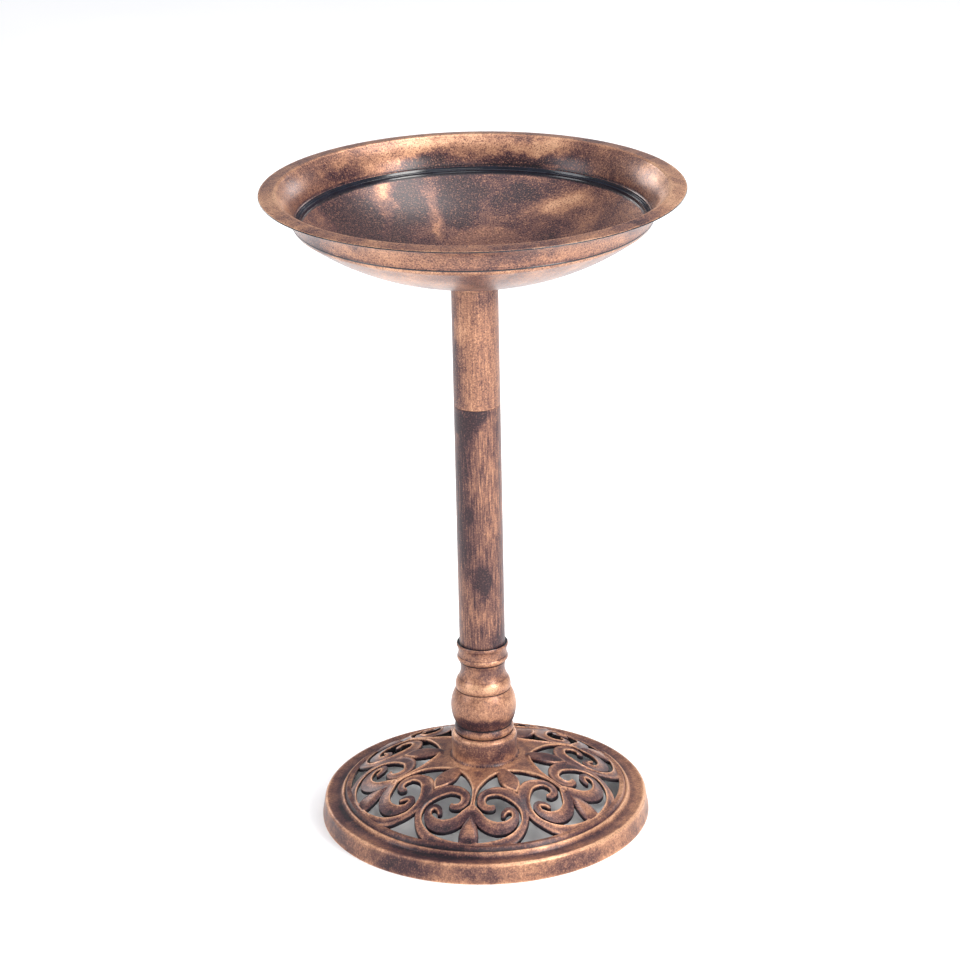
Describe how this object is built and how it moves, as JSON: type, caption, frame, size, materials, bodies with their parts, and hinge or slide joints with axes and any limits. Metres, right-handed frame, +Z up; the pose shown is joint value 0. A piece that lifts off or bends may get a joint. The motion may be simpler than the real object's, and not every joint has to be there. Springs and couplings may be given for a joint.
{
  "type": "bird bath",
  "caption": "Pedestal bird bath: a round dished bowl that lifts off a straight tube post with a turned baluster and a round openwork scroll base.",
  "frame": {"origin": "middle of the base, on the ground", "axes": "+Z up along the post; -Y towards the front"},
  "size_m": [0.4409, 0.441, 0.711],
  "materials": {
    "base_finish": "hand-rubbed antique copper over dark plastic",
    "baluster_finish": "hand-rubbed antique copper over dark plastic",
    "tube_finish": "antique copper brushed lengthwise over dark plastic",
    "bowl_finish": "mottled antique copper over dark plastic, satin",
    "socket_finish": "antique copper over dark plastic, satin",
    "plain_plastic": "unpainted black moulding",
    "zinc_steel": "zinc plated"
  },
  "bodies": {
    "post": {"base": "base_finish", "baluster": "baluster_finish", "lower_tube": "tube_finish", "tube_coupler": "plain_plastic", "upper_tube": "tube_finish", "bowl_socket": "socket_finish", "tie_rod": "zinc_steel", "rod_washers": "zinc_steel", "rod_nuts": "zinc_steel"},
    "bowl": {"bowl": "bowl_finish"}
  },
  "joints": [
    {"name": "bowl_lift", "type": "slide", "parent": "post", "child": "bowl", "axis": [0, 0, 1], "range_m": [0, 0.06]}
  ]
}
